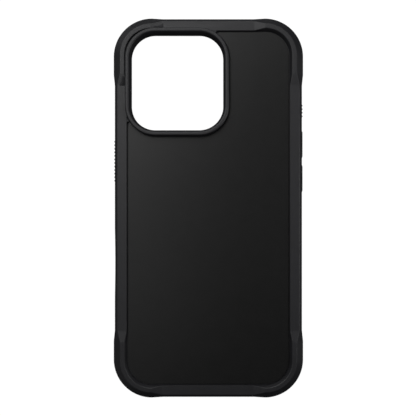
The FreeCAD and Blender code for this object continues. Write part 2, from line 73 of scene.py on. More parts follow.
# the rail, in section and along its ramps
TRAY_WALL = 0.7
CORNER_BUMP = 0.65
LIP_HEIGHT, LIP_OVERHANG = 1.3, 1.0
PLATE_RECESS, RIDGE_RISE = 0.65, 0.6
BAND_BEVEL, CORNER_BEVEL = 1.15, 2.95
BAND_OVERHANG = 2.6
CORNER_STRAIGHT, RAMP_LENGTH = 7.55, 4.6
# the camera window and its rim
CAMERA_SIZE = np.array((37.6, 39.1))
CAMERA_CORNER = 9.85
CAMERA_MARGIN = np.array((4.4, 4.1))
RIM_WALL, SKIRT_WALL = 2.4, 1.3
# the plate's gaps and edge, and the small round where its notch meets a straight side
PLATE_GAP, RIM_GAP = 0.5, 0.35
PLATE_EDGE, WEB_RADIUS = 0.1, 0.7
# buttons and corner cushions
CAP_GAP, CAP_CORNER, FLANGE_MARGIN = 0.15, 1.2, 0.8
RIBS, RIB_HEIGHT = {"power": 12, "action": 4}, 0.6
CUSHION_GAP, CUSHION_THICKNESS = 0.01, 0.89

# plan of the pocket that the phone sits in, and the levels of the layers above it
CAVITY_HALF = TRAY_HIGH[:2] - TRAY_WALL
CAVITY_CORNER = 12.65
SIDE_WALL = BUMPER_HIGH[0] - CORNER_BUMP - CAVITY_HALF[0]
CORNER_CENTRE = CAVITY_HALF - CAVITY_CORNER
TRAY_TOP, TRAY_FOOT = TRAY_HIGH[2], TRAY_LOW[2]
TRAY_UNDER = LINING_HIGH[2]
BAND_TOP = PLATE_HIGH[2] + PLATE_RECESS
RIDGE_TOP = BAND_TOP + RIDGE_RISE
RIM_TOP = BUMPER_HIGH[2]
CAMERA_CENTRE = (CAVITY_HALF - CAMERA_MARGIN - CAMERA_SIZE / 2) * (-1, 1)
BUTTON_LEVEL = (CAP_BOXES["power"][0][2] + CAP_BOXES["power"][1][2]) / 2
CAP_HEIGHT = CAP_BOXES["power"][1][2] - CAP_BOXES["power"][0][2]

# openings in the walls: the port and two sound slots in the bottom end, as middle across, half
# width and half height; the microphone hole in the top end; the control slot in the left side
PORTS = ((0.0, 6.3, 3.2), (-17.0, 5.25, 0.9), (17.0, 5.25, 0.9))
MICROPHONE_RADIUS = 1.2
CONTROL_ALONG, CONTROL_HALF = -22.3, np.array((11.0, 2.6))
SCOOP_CHORD, SCOOP_DEPTH = 30.0, 0.25
# half of the short straight edge that keeps a slot's two end arcs apart
SLOT_FLAT = 0.05

# ------------------------------------------------------------------ meshes


def grid_faces(rows, columns, close_rows=True, close_columns=True):
    """Quads between neighbouring points of a grid, joined round where it is closed."""
    row = np.arange(rows if close_rows else rows - 1)[:, None]
    column = np.arange(columns if close_columns else columns - 1)[None, :]
    next_row, next_column = (row + 1) % rows, (column + 1) % columns
    corners = (
        row * columns + column,
        row * columns + next_column,
        next_row * columns + next_column,
        next_row * columns + column,
    )
    shape = (row.size, column.size)
    return np.stack([np.broadcast_to(corner, shape) for corner in corners], -1).reshape(-1, 4)


def volume_of(points, faces):
    """Signed volume inside closed faces: a sixth of the sum of a . (b x c) over each face's fan."""
    total = 0.0
    for face in faces:
        fan = points[face]
        total += np.sum(fan[0] * np.cross(fan[1:-1], fan[2:]))
    return total / 6


def new_piece(name, points, faces, sharp=30.0):
    """A mesh object from points in millimetres, faces turned outwards and sharp edges marked."""
    points = np.asarray(points, float).reshape(-1, 3)
    faces = [list(map(int, face)) for face in faces]
    if volume_of(points, faces) < 0:
        faces = [face[::-1] for face in faces]
    mesh = bpy.data.meshes.new(name)
    mesh.from_pydata((points * MM).tolist(), [], faces)
    mesh.validate()
    piece = bpy.data.objects.new(name, mesh)
    bpy.context.scene.collection.objects.link(piece)
    smooth(piece, sharp)
    return piece


def smooth(piece, sharp=30.0):
    """Shades a piece smooth, apart from edges that turn by more than an angle in degrees."""
    piece.data.shade_smooth()
    piece.data.set_sharp_from_angle(angle=math.radians(sharp))
    if not piece.modifiers:
        flat = piece.modifiers.new("flat faces stay flat", "WEIGHTED_NORMAL")
        flat.keep_sharp = True


def merge_flats(piece, turn=0.3):
    """Joins neighbouring faces that lie in one plane, to within an angle in degrees."""
    work = bmesh.new()
    work.from_mesh(piece.data)
    bmesh.ops.dissolve_limit(work, angle_limit=math.radians(turn), verts=work.verts, edges=work.edges)
    work.to_mesh(piece.data)
    work.free()


def placed(outline, distance, axis=2):
    """Points of a flat outline, all set at one distance along the axis that it faces."""
    return np.insert(outline, axis, distance, axis=1)


def loft(name, sections, sharp=30.0):
    """Joins closed sections, one row of points each, and closes both ends with flat faces."""
    sections = np.asarray(sections, float)
    rows, columns = sections.shape[:2]
    faces = list(grid_faces(rows, columns, close_rows=False))
    faces.append(np.arange(columns)[::-1])
    faces.append((rows - 1) * columns + np.arange(columns))
    return new_piece(name, sections.reshape(-1, 3), faces, sharp)


def combine(piece, other, operation):
    """Joins, cuts or keeps the overlap of two closed pieces, and leaves the result in the first."""
    piece.modifiers.clear()
    modifier = piece.modifiers.new("combine", "BOOLEAN")
    modifier.operation = operation
    modifier.object = other
    modifier.solver = "EXACT"
    graph = bpy.context.evaluated_depsgraph_get()
    result = bpy.data.meshes.new_from_object(piece.evaluated_get(graph))
    piece.modifiers.clear()
    piece.data = result
    bpy.data.objects.remove(other)


def rounded_rectangle(half, corner, steps, centre):
    """Points and outward directions round a rectangle whose corners are quarter circles."""
    quarter = math.pi / 2
    turn = (np.linspace(0, quarter, steps + 1) + np.arange(4)[:, None] * quarter).reshape(-1)
    out = np.stack((np.cos(turn), np.sin(turn)), -1)
    signs = np.repeat(np.array(((1, 1), (-1, 1), (-1, -1), (1, -1))), steps + 1, axis=0)
    return np.asarray(centre) + signs * (np.asarray(half) - corner) + out * corner, out


def round_profile(corners, reach, steps):
    """
    Rounds a closed profile's corners, for every station of a sweep at once.

    corners is an array of stations by corners by two. Each corner becomes a quadratic curve that
    leaves one side and joins the next at a distance reach from the corner, or at 45% of a side
    that is too short for it.
    """
    before = np.roll(corners, 1, axis=1) - corners
    after = np.roll(corners, -1, axis=1) - corners
    points = []
    for index in range(corners.shape[1]):
        if steps[index] == 0:
            points.append(corners[:, index][:, None])
            continue
        ends = []
        for side in (before[:, index], after[:, index]):
            length = np.linalg.norm(side, axis=-1, keepdims=True)
            ends.append(side / length * np.minimum(reach[:, index][:, None], 0.45 * length))
        u = np.linspace(0, 1, steps[index] + 1)[None, :, None]
        curve = (1 - u) ** 2 * ends[0][:, None] + u**2 * ends[1][:, None]
        points.append(corners[:, index][:, None] + curve)
    return np.concatenate(points, axis=1)


# ------------------------------------------------------------------ the bumper


def eased_ramp(distance):
    """A straight rise from 0 to 1 over the ramp's length, each bend eased by a parabola."""
    ease = 0.35

    def bend(value):
        """0 before a bend and the distance past it after, with a parabola between."""
        eased = np.where(value > ease, value, (value + ease) ** 2 / (4 * ease))
        return np.where(value < -ease, 0.0, eased)

    return (bend(distance) - bend(distance - RAMP_LENGTH)) / RAMP_LENGTH


def rail_stations():
    """
    Stations round the pocket's outline: place, outward direction, and how far the rail has
    risen from its low band, 0, to its raised corner, 1.

    One quarter runs up the side, round the corner and along the end; the other three are its
    mirror images, taken in an order that keeps the round going one way.
    """
    side_low = CORNER_CENTRE[1] - CORNER_STRAIGHT - RAMP_LENGTH
    end_low = CORNER_CENTRE[0] - RAMP_LENGTH

    def steps(low, last):
        """Places along a straight stretch, close together at the ramp's two bends."""
        high = low + RAMP_LENGTH
        parts = (
            np.linspace(0, low - 1, 14),
            low + np.linspace(-0.5, 0.5, 9),
            np.linspace(low + 0.8, high - 0.8, 6),
            high + np.linspace(-0.5, 0.5, 9),
            np.linspace(high + 1, last, 5),
        )
        places = np.concatenate(parts)
        return places[places <= last]

    along = steps(side_low, CORNER_CENTRE[1])
    across = steps(end_low, CORNER_CENTRE[0])[::-1]
    turn = np.linspace(0, math.pi / 2, 37)[1:-1]
    places = np.concatenate(
        (
            np.stack((np.full_like(along, CAVITY_HALF[0]), along), -1),
            CORNER_CENTRE + CAVITY_CORNER * np.stack((np.cos(turn), np.sin(turn)), -1),
            np.stack((across, np.full_like(across, CAVITY_HALF[1])), -1),
        )
    )
    out = np.concatenate(
        (
            np.tile((1.0, 0.0), (len(along), 1)),
            np.stack((np.cos(turn), np.sin(turn)), -1),
            np.tile((0.0, 1.0), (len(across), 1)),
        )
    )
    rise = np.concatenate(
        (eased_ramp(along - side_low), np.ones(len(turn)), eased_ramp(across - end_low))
    )
    quarter = np.concatenate((places, out, rise[:, None]), -1)
    mirrors = ((1, 1, False), (-1, 1, True), (-1, -1, False), (1, -1, True))
    quarters = []
    for across_sign, along_sign, backwards in mirrors:
        copy = quarter * (across_sign, along_sign, across_sign, along_sign, 1)
        quarters.append(copy[::-1] if backwards else copy)
    stations = np.concatenate(quarters)
    step = np.linalg.norm(stations[:, :2] - np.roll(stations[:, :2], 1, axis=0), axis=-1)
    return stations[step > 1e-6]


def rail_profile(rise):
    """
    The rail's section at each station: a ring of corners, each rounded by a curve.

    A corner is its distance out from the pocket, its height, how far its curve reaches and how
    many steps the curve has. It goes in a straight line from its place on the low band to its
    place on the raised corner as the rail rises.
    """
    wall, floor = SIDE_WALL, TRAY_TOP
    proud = wall + CORNER_BUMP
    lip = (-LIP_OVERHANG, 0, 0.35, 3)
    inside = (
        (-BAND_OVERHANG, floor, 0, 0),
        (TRAY_WALL, floor, 0, 0),
        (TRAY_WALL, TRAY_FOOT, 0, 0),
        (0, TRAY_FOOT, 0, 0),
        (0, LIP_HEIGHT, 0, 0),
        (-LIP_OVERHANG, LIP_HEIGHT, 0.35, 3),
    )
    band = (
        lip,
        (wall - 1.1, 0, 0.6, 4),
        (wall, LIP_HEIGHT, 0.7, 4),
        (wall, BAND_TOP - BAND_BEVEL - 0.1, 0.35, 4),
        (wall - BAND_BEVEL - 0.05, BAND_TOP, 0.25, 5),
        (-BAND_OVERHANG, BAND_TOP, 0.14, 4),
        (-BAND_OVERHANG, floor + 0.5, 0.1, 2),
        *inside,
    )
    corner = (
        lip,
        (proud - 1.4, 0, 0.7, 4),
        (proud, LIP_HEIGHT + 0.3, 0.9, 4),
        (proud, RIDGE_TOP - 0.9 * CORNER_BEVEL, 0.8, 4),
        (proud - CORNER_BEVEL - 0.1, RIDGE_TOP, 0.25, 5),
        (proud - CORNER_BEVEL - 1.9, RIDGE_TOP, 0.28, 4),
        (-BAND_OVERHANG, floor + 0.3, 0.2, 2),
        *inside,
    )
    low, high = np.array(band), np.array(corner)
    blend = rise[:, None, None]
    table = (1 - blend) * low + blend * high
    return round_profile(table[:, :, :2], table[:, :, 2], low[:, 3].astype(int))


def make_rail():
    """The rail: its section carried round the pocket's outline and closed on itself."""
    stations = rail_stations()
    places, out, rise = stations[:, :2], stations[:, 2:4], stations[:, 4]
    profile = rail_profile(rise)
    plan = places[:, None] + out[:, None] * profile[:, :, :1]
    points = np.concatenate((plan, profile[:, :, 1:]), -1)
    return new_piece("bumper_moulding", points, grid_faces(*points.shape[:2]))


def make_rim():
    """
    The raised rim round the camera window, down through the tray to the phone's back.

    A corner of its section is its distance out from the window, its height, how far its curve
    reaches and how many steps the curve has. The section is carried round a rounded rectangle.
    """
    section = np.array(
        (
            (0.0, TRAY_UNDER, 0, 0),
            (0.0, RIM_TOP - 1.9, 0.5, 5),
            (0.8, RIM_TOP, 0.5, 6),
            (RIM_WALL, RIM_TOP, 1.0, 9),
            (RIM_WALL, TRAY_TOP, 0, 0),
            (SKIRT_WALL, TRAY_TOP, 0, 0),
            (SKIRT_WALL, TRAY_UNDER, 0, 0),
        )
    )
    ring = round_profile(section[None, :, :2], section[None, :, 2], section[:, 3].astype(int))[0]
    places, out = rounded_rectangle(CAMERA_SIZE / 2, CAMERA_CORNER, 20, CAMERA_CENTRE)
    plan = places[:, None] + out[:, None] * ring[None, :, :1]
    heights = np.broadcast_to(ring[None, :, 1:], plan.shape[:2] + (1,))
    return new_piece("rim", np.concatenate((plan, heights), -1), grid_faces(len(places), len(ring)))


def corner_web(across):
    """
    A small concave web that softens the corner where the rim meets the rail's inner edge.

    Its outline runs along the rail's straight inner edge, back along the rim's round corner and
    closes with a circle that touches both.
    """
    radius, rim, overlap = WEB_RADIUS, CAMERA_CORNER + RIM_WALL, 0.6
    edge = CAVITY_HALF - BAND_OVERHANG
    straight = CAMERA_SIZE / 2 - CAMERA_CORNER
    if across:
        level, start = edge[1], CAMERA_CENTRE + straight
        height = level - radius - start[1]
        touch = np.array((start[0] + math.sqrt((rim + radius) ** 2 - height**2), level - radius))
        corner = np.array((start[0] + math.sqrt(rim**2 - (level - start[1]) ** 2), level))
        towards_edge = np.array((0, 1))
    else:
        level, start = -edge[0], CAMERA_CENTRE - straight
        width = start[0] - (level + radius)
        touch = np.array((level + radius, start[1] - math.sqrt((rim + radius) ** 2 - width**2)))
        corner = np.array((level, start[1] - math.sqrt(rim**2 - (level - start[0]) ** 2)))
        towards_edge = np.array((-1, 0))
    on_edge = touch + radius * towards_edge
    on_rim = start + (touch - start) * rim / (rim + radius)
    share = np.linspace(0, 1, 7)[:, None]
    ray = (1 - share) * (on_edge - touch) + share * (on_rim - touch)
    arc = touch + ray / np.linalg.norm(ray, axis=-1, keepdims=True) * radius
    inwards = overlap * np.array((-1, 1))
    inside = (on_rim + inwards / 2, corner + inwards, on_edge + overlap * towards_edge)
    outline = np.concatenate((arc, inside))
    return loft("web", [placed(outline, level) for level in (TRAY_TOP + 0.01, BAND_TOP - 0.02)])


def button_outline(name):
    """A button's side, +1 or -1, and its cap's middle and half size in that side's plane."""
    low, high = CAP_BOXES[name]
    middle = np.array(((low[1] + high[1]) / 2, BUTTON_LEVEL))
    return math.copysign(1, low[0]), middle, np.array(((high[1] - low[1]) / 2, CAP_HEIGHT / 2))


def wall_cutter(side, centre, half, corner, stops, axis=0):
    """
    A cutter for an upright wall: a rounded rectangle that widens or narrows on its way out.

    stops lists distances from the middle of the case with the margin that the outline has
    there; side is +1 or -1, and axis is the one that the cutter runs along.
    """
    sections = []
    for distance, margin in stops:
        outline, _ = rounded_rectangle(np.asarray(half) + margin, corner + margin, 6, centre)
        sections.append(placed(outline, side * distance, axis))
    return loft("cutter", sections)


def flared(inner, face, flare):
    """Stops for a hole whose mouth opens in a quarter round where it meets a face."""
    beyond = 2.0
    turn = np.linspace(0, math.pi / 2, 6)
    mouth = [(face - flare + flare * math.sin(t), flare * (1 - math.cos(t))) for t in turn]
    return [(inner, 0.0)] + mouth + [(face + beyond, flare)]


def cut_button_seats(bumper):
    """Cuts each button's opening and, behind it, the seat for its flange and return pad."""
    side_face = CAVITY_HALF[0] + SIDE_WALL
    seat = ((TRAY_HIGH[0] - 0.2, 0), (0.05 - node_box("power_plunger")[0][0], 0))
    opening = flared(TRAY_HIGH[0], side_face, 0.25)
    margin = FLANGE_MARGIN + CAP_GAP
    for name in BUTTONS:
        side, centre, half = button_outline(name)
        cutter = wall_cutter(side, centre, half + margin, 2.1, seat)
        combine(bumper, cutter, "DIFFERENCE")
        cutter = wall_cutter(side, centre, half + CAP_GAP, CAP_CORNER + CAP_GAP, opening)
        combine(bumper, cutter, "DIFFERENCE")


def cut_wall_openings(bumper):
    """Cuts the charging port, sound slots, microphone hole and camera control slot."""
    side_face, end_face = CAVITY_HALF + SIDE_WALL
    inner = CAVITY_HALF - 2
    for across, half_width, half_height in PORTS:
        stops, corner = flared(inner[1], end_face, 0.45), half_height - SLOT_FLAT
        half = (half_width, half_height)
        cutter = wall_cutter(-1, (across, BUTTON_LEVEL), half, corner, stops, axis=1)
        combine(bumper, cutter, "DIFFERENCE")
    stops, corner = flared(inner[1], end_face, 0.4), MICROPHONE_RADIUS - SLOT_FLAT
    half = (MICROPHONE_RADIUS, MICROPHONE_RADIUS)
    combine(bumper, wall_cutter(1, (0, BUTTON_LEVEL), half, corner, stops, axis=1), "DIFFERENCE")
    stops, corner = flared(inner[0], side_face - SCOOP_DEPTH, 0.6), CONTROL_HALF[1] - SLOT_FLAT
    slot = wall_cutter(-1, (CONTROL_ALONG, BUTTON_LEVEL), CONTROL_HALF, corner, stops)
    combine(bumper, slot, "DIFFERENCE")


def cut_control_scoop(bumper):
    """
    Dishes the side round the camera control, from lip to bevel.

    In plan its floor is a parabola: deepest in the middle, and level with the face at each end
    of the chord.
    """
    face = CAVITY_HALF[0] + SIDE_WALL
    across = np.linspace(-SCOOP_CHORD / 2 - 1, SCOOP_CHORD / 2 + 1, 41)
    inward = SCOOP_DEPTH * (1 - (2 * across / SCOOP_CHORD) ** 2)
    floor = np.stack((inward - face, across + CONTROL_ALONG), -1)
    outside = -face - 4
    outline = np.concatenate((floor, ((outside, floor[-1, 1]), (outside, floor[0, 1]))))
    scoop = loft("scoop", [placed(outline, level) for level in (-2.0, RIM_TOP + 1)])
    combine(bumper, scoop, "DIFFERENCE")


def make_bumper():
    """The whole soft moulding, joined from the rail, the rim and two webs, and then cut."""
    bumper = make_rail()
    combine(bumper, make_rim(), "UNION")
    for across in (True, False):
        combine(bumper, corner_web(across), "UNION")
    cut_button_seats(bumper)
    cut_wall_openings(bumper)
    cut_control_scoop(bumper)
    merge_flats(bumper)
    smooth(bumper, 32.0)
    return bumper


# ------------------------------------------------------------------ the back plate


def plate_outline(inset):
    """
    The plate's outline, moved in by an inset: a rounded rectangle with the rim's corner taken out.

    The straight top and left sides meet the round notch in two small convex corners, each a
    circle that touches both the side and the notch.
    """
    radius = WEB_RADIUS - inset
    notch = CAMERA_CORNER + RIM_WALL + RIM_GAP + inset
    half = CAVITY_HALF - BAND_OVERHANG - PLATE_GAP - inset
    corner = CAVITY_CORNER - BAND_OVERHANG - PLATE_GAP - inset
    straight = CAMERA_SIZE / 2 - CAMERA_CORNER

    def arc(centre, size, start, stop, count):
        """Points on a circle from one angle to another, in degrees."""
        turn = np.radians(np.linspace(start, stop, count))
        return np.asarray(centre) + size * np.stack((np.cos(turn), np.sin(turn)), -1)

    top, left = CAMERA_CENTRE + straight, CAMERA_CENTRE - straight
    rise = half[1] - radius - top[1]
    run = left[0] - (-half[0] + radius)
    reach = notch + radius
    by_top = np.array((top[0] + math.sqrt(reach**2 - rise**2), half[1] - radius))
    by_left = np.array((-half[0] + radius, left[1] - math.sqrt(reach**2 - run**2)))
    top_angle = math.degrees(math.atan2(*(by_top - top)[::-1]))
    left_angle = math.degrees(math.atan2(*(by_left - left)[::-1])) % 360
    centre = half - corner
    arcs = (
        arc(by_top, radius, 90, 180 + top_angle, 9),
        arc(top, notch, top_angle, 0, 17)[1:],
        arc(CAMERA_CENTRE + straight * (1, -1), notch, 0, -90, 25),
        arc(left, notch, 270, left_angle, 17)[:-1],
        arc(by_left, radius, left_angle - 180, 180, 9),
        arc(-centre, corner, 180, 270, 25),
        arc(centre * (1, -1), corner, 270, 360, 25),
        arc(centre, corner, 0, 90, 25),
    )
    return np.concatenate(arcs)


def make_plate():
    """The hard back plate: flat faces, and a quarter round all along the upper edge."""
    low, high = PLATE_LOW[2], PLATE_HIGH[2]
    sections = [placed(plate_outline(0.0), low)]
    for turn in np.linspace(0, math.pi / 2, 5):
        inset, drop = PLATE_EDGE * (1 - math.cos(turn)), PLATE_EDGE * (1 - math.sin(turn))
        sections.append(placed(plate_outline(inset), high - drop))
    return loft("back_panel", sections)


# ------------------------------------------------------------------ buttons


def make_cap(name):
    """A button's cap, from its inner face out to its ribbed or smooth outer one."""
    inner, outer = np.sort(np.abs([corner[0] for corner in CAP_BOXES[name]]))
    make = ribbed_cap if name in RIBS else flat_cap
    return make(name, inner, outer)


def flat_cap(name, inner, outer):
    """The cap's rounded outline carried straight out to a flat face, whose edge is a quarter round."""
    side, centre, half = button_outline(name)
    radius = 0.3
    sections = [placed(rounded_rectangle(half, CAP_CORNER, 8, centre)[0], side * inner, 0)]
    for turn in np.linspace(0, math.pi / 2, 6):
        inset, drop = radius * (1 - math.cos(turn)), radius * (1 - math.sin(turn))
        outline, _ = rounded_rectangle(half - inset, CAP_CORNER - inset, 8, centre)
        sections.append(placed(outline, side * (outer - drop), 0))
    return loft(f"{name}_key", sections)


def ribbed_cap(name, inner, outer):
    """
    A cap with pointed ribs: a grid whose height along the case is a triangle wave.

    Each peak is flattened a little, and across the ribs the height falls away in a quarter round
    at both ends. The grid's outline is the cap's rounded rectangle, and a flat back closes it.
    """
    side, centre, half = button_outline(name)
    count, per_rib, across_steps, end_round = RIBS[name], 8, 13, 0.45
    along = np.linspace(-half[0], half[0], count * per_rib + 1)
    phase = (along + half[0]) / (2 * half[0]) * count
    wave = 1 - np.abs(2 * (phase - np.floor(phase)) - 1)
    wave[-1] = 0
    wave = np.where(wave > 0.9, 0.9 + (wave - 0.9) * 0.5, wave)
    past = np.clip(np.abs(along) - (half[0] - CAP_CORNER), 0, None)
    reach = half[1] - CAP_CORNER + np.sqrt(np.clip(CAP_CORNER**2 - past**2, 0.02, None))
    up = np.linspace(-1, 1, across_steps)
    eased = np.sign(up) * np.abs(up) ** 0.75
    fall = np.clip((1 - np.abs(eased)[None, :]) * reach[:, None] / end_round, 0, 1)
    face = outer - RIB_HEIGHT + RIB_HEIGHT * wave[:, None] * np.sqrt(1 - (1 - fall) ** 2)
    y = np.broadcast_to(centre[0] + along[:, None], face.shape)
    z = centre[1] + eased[None, :] * reach[:, None]
    front = np.stack((side * face, y, z), -1)
    back = np.stack((np.full_like(face, side * inner), y, z), -1)
    rows, columns = face.shape
    points = np.concatenate((front.reshape(-1, 3), back.reshape(-1, 3)))
    front_faces = grid_faces(rows, columns, False, False)
    back_faces = front_faces[:, ::-1] + rows * columns
    first = np.arange(columns)
    right = np.arange(1, rows) * columns + columns - 1
    last = (rows - 1) * columns + np.arange(columns - 2, -1, -1)
    left = np.arange(rows - 2, 0, -1) * columns
    rim = np.concatenate((first, right, last, left))
    following = np.roll(rim, -1)
    walls = np.stack((rim, rim + rows * columns, following + rows * columns, following), -1)
    faces = np.concatenate((front_faces, back_faces, walls))
    return new_piece(f"{name}_key", points, faces, 35)


# ------------------------------------------------------------------ soft inner pieces


def ring_between(name, inner, outer, section, finish, sharp=40.0):
    """
    A closed ring whose section is carried round between two loops with equal numbers of points.

    section lists (across, level): across goes from 0 on the inner loop to 1 on the outer one.
    finish turns the ring's points, of plan coordinates and level, into their positions.
    """
    section = np.asarray(section, float)
    across = section[None, :, :1]
    plan = inner[:, None] * (1 - across) + outer[:, None] * across
    level = np.broadcast_to(section[None, :, 1:], plan.shape[:2] + (1,))
    points = finish(np.concatenate((plan, level), -1))
    return new_piece(name, points, grid_faces(*points.shape[:2]), sharp)


def rays_to_rectangle(half, corner, centre, origin, turns):
    """Points where rays from an origin leave a rounded rectangle, found by halving the distance."""
    direction = np.stack((np.cos(turns), np.sin(turns)), -1)
    near, far = np.zeros(len(turns)), np.full(len(turns), 400.0)
    for _ in range(50):
        middle = (near + far) / 2
        offset = np.abs(origin + direction * middle[:, None] - centre) - (np.asarray(half) - corner)
        outside = np.linalg.norm(np.maximum(offset, 0), axis=-1) + np.minimum(offset.max(-1), 0) > corner
        near, far = np.where(outside, near, middle), np.where(outside, middle, far)
    return origin + direction * near[:, None]


def make_lining():
    """
    The lining: a thin sheet from the camera window out to the pocket's walls.

    Its lower face, towards the phone, has a soft nap: two sine waves across each other.
    """
    inset = CAVITY_HALF[0] - LINING_HIGH[0]
    turns = np.linspace(0, 2 * math.pi, 481)[:-1]
    window, corner = CAMERA_SIZE / 2 + inset, CAMERA_CORNER + inset
    inner = rays_to_rectangle(window, corner, CAMERA_CENTRE, CAMERA_CENTRE, turns)
    half, corner = CAVITY_HALF - inset, CAVITY_CORNER - inset
    outer = rays_to_rectangle(half, corner, np.zeros(2), CAMERA_CENTRE, turns)
    low, high = LINING_LOW[2], LINING_HIGH[2]
    nap_height, nap_waves, edge = 0.03, 1.9, low + 0.08
    lower = placed(np.linspace(0.002, 0.998, 90)[:, None], low + nap_height, 1)
    section = np.concatenate((lower, ((1, edge), (1, high), (0, high), (0, edge))))

    def nap(points):
        """Adds the waves to the points of the lower face."""
        x, y, z = np.moveaxis(points, -1, 0)
        wave = nap_height * np.sin(nap_waves * x) * np.sin(nap_waves * y)
        return np.stack((x, y, np.where(z < edge - nap_height, z + wave, z)), -1)

    sheet = ring_between("lining_sheet", inner, outer, section, nap)
    area = (outline_area(outer) - outline_area(inner)) * MM * MM
    return sheet, (2 * half * MM).tolist(), area


def outline_area(outline):
    """Area inside an outline, by the shoelace sum."""
    following = np.roll(outline, -1, axis=0)
    return abs(np.sum(outline[:, 0] * following[:, 1] - following[:, 0] * outline[:, 1])) / 2


def make_cushion(name, across, along):
    """
    A corner's gel cushion: a flat band bent round the corner, with shallow upright flutes.

    The band's section is a rectangle with rounded edges; its outer side moves in by a cosine
    of the angle, 20 flutes in the quarter, and the ends taper over the last two degrees.
    """
    low, high = node_box(f"corner_cushion_{name}")
    inner = CAVITY_CORNER + TRAY_WALL + CUSHION_GAP
    turns = np.radians(np.linspace(5, 85, 161))
    half = np.array((CUSHION_THICKNESS / 2, (high[2] - low[2]) / 2))
    outline, _ = rounded_rectangle(half, 0.3, 5, (inner + half[0], low[2] + half[1]))
    end = np.clip(np.minimum(turns - turns[0], turns[-1] - turns) / math.radians(2), 0, 1)
    taper = 0.75 + 0.25 * np.sqrt(1 - (1 - end) ** 2)
    flute = 0.06 * (1 - np.cos(turns * 80))
    radius = inner + (outline[None, :, 0] - inner) * (taper - flute)[:, None]
    middle = low[2] + half[1]
    level = middle + (outline[None, :, 1] - middle) * (0.95 + 0.05 * end)[:, None]
    x = across * (CORNER_CENTRE[0] + radius * np.cos(turns)[:, None])
    y = along * (CORNER_CENTRE[1] + radius * np.sin(turns)[:, None])
    return loft(f"gel_cushion_{name}", np.stack((x, y, level), -1), 40)


def make_return_pad(name):
    """The silicone ring behind a button: flat on both faces, with its two rims rounded over."""
    side, centre, half = button_outline(name)
    near, far = np.sort(np.abs([corner[0] for corner in node_box(f"{name}_return_pad")]))
    outer, _ = rounded_rectangle(half + FLANGE_MARGIN, 2.0, 8, centre)
    inner, _ = rounded_rectangle((half[0] - 1.35, 1.25), 0.65, 8, centre)
    drop, inset = 0.12, 0.06
    lower = ((0, near + drop), (inset, near), (1 - inset, near), (1, near + drop))
    upper = ((1, far - drop), (1 - inset, far), (inset, far), (0, far - drop))

    def stand_up(points):
        """Turns the ring from lying flat to facing out of the case's side."""
        return np.stack((side * points[..., 2], points[..., 0], points[..., 1]), -1)

    ring = ring_between(f"{name}_silicone_ring", inner, outer, lower + upper, stand_up)
    return ring, (side * near * MM, centre[0] * MM, centre[1] * MM)


# ------------------------------------------------------------------ materials


def linear(code):
    """Turns an sRGB hex colour into linear values."""
    channels = np.array([int(code[i : i + 2], 16) for i in (1, 3, 5)]) / 255
    values = np.where(channels <= 0.04045, channels / 12.92, ((channels + 0.055) / 1.055) ** 2.4)
    return (*values, 1.0)


def add_node(tree, kind, settings=(), links=()):
    """Adds a node; settings go to its sockets or properties, and links are (socket, output) pairs."""
    node = tree.nodes.new(kind)
    for key, value in dict(settings).items():
        if key in node.inputs:
            node.inputs[key].default_value = value
        else:
            setattr(node, key, value)
    for socket, output in dict(links).items():
        tree.links.new(output, node.inputs[socket])
    return node


def noise(tree, place, spacing_mm, detail):
    """A noise whose bumps are about a spacing apart."""
    settings = {"Scale": 1 / (spacing_mm * MM), "Detail": detail}
    return add_node(tree, "ShaderNodeTexNoise", settings, {"Vector": place}).outputs["Fac"]


def remap(tree, value, settings):
    """A value moved from one range to another."""
    return add_node(tree, "ShaderNodeMapRange", settings, {"Value": value}).outputs["Result"]


def moulded(name, light, dark, roughness, grain_mm, depth_mm, mottle_mm=6.0, specular=0.5, sheen=0.0):
    """
    A moulded plastic or elastomer: spark-eroded grain in the surface, and a faint mottle in colour.

    grain_mm is the grain's spacing and depth_mm its height; light and dark are the mottle's ends.
    """
    material = bpy.data.materials.new(name)
    material.use_nodes = True
    tree = material.node_tree
    shader = tree.nodes["Principled BSDF"]
    place = add_node(tree, "ShaderNodeTexCoord").outputs["Object"]
    grain = noise(tree, place, grain_mm, 2.0)
    mottle = noise(tree, place, mottle_mm, 4.0)
    both = add_node(tree, "ShaderNodeMath", {"operation": "ADD"}, {0: grain, 1: mottle})
    share = remap(tree, both.outputs[0], {"From Min": 0.75, "From Max": 1.25})
    colour = add_node(tree, "ShaderNodeMix", {"data_type": "RGBA"}, {"Factor": share})
    for socket in colour.inputs:
        if socket.name in ("A", "B") and socket.type == "RGBA":
            socket.default_value = linear(dark if socket.name == "A" else light)
    mixed = [output for output in colour.outputs if output.type == "RGBA"][0]
    gloss = {"From Min": 0.3, "From Max": 0.7, "To Min": roughness - 0.04, "To Max": roughness + 0.04}
    depth = {"Strength": 1.0, "Distance": depth_mm * MM}
    bump = add_node(tree, "ShaderNodeBump", depth, {"Height": grain})
    tree.links.new(mixed, shader.inputs["Base Color"])
    tree.links.new(remap(tree, grain, gloss), shader.inputs["Roughness"])
    tree.links.new(bump.outputs["Normal"], shader.inputs["Normal"])
    shader.inputs["Specular IOR Level"].default_value = specular
    shader.inputs["Sheen Weight"].default_value = sheen
    return material


def metal(name, colour, roughness, grain_mm):
    """A plated or rolled metal: its gloss varies with a fine noise drawn out along X."""
    material = bpy.data.materials.new(name)
    material.use_nodes = True
    tree = material.node_tree
    shader = tree.nodes["Principled BSDF"]
    place = add_node(tree, "ShaderNodeTexCoord").outputs["Object"]
    stretch = add_node(tree, "ShaderNodeMapping", {"Scale": (0.08, 1, 1)}, {"Vector": place})
    lines = noise(tree, stretch.outputs["Vector"], grain_mm, 3.0)
    spread = {"From Min": 0.3, "From Max": 0.7, "To Min": roughness * 0.7, "To Max": roughness * 1.3}
    tree.links.new(remap(tree, lines, spread), shader.inputs["Roughness"])
    shader.inputs["Base Color"].default_value = linear(colour)
    shader.inputs["Metallic"].default_value = 1.0
    return material


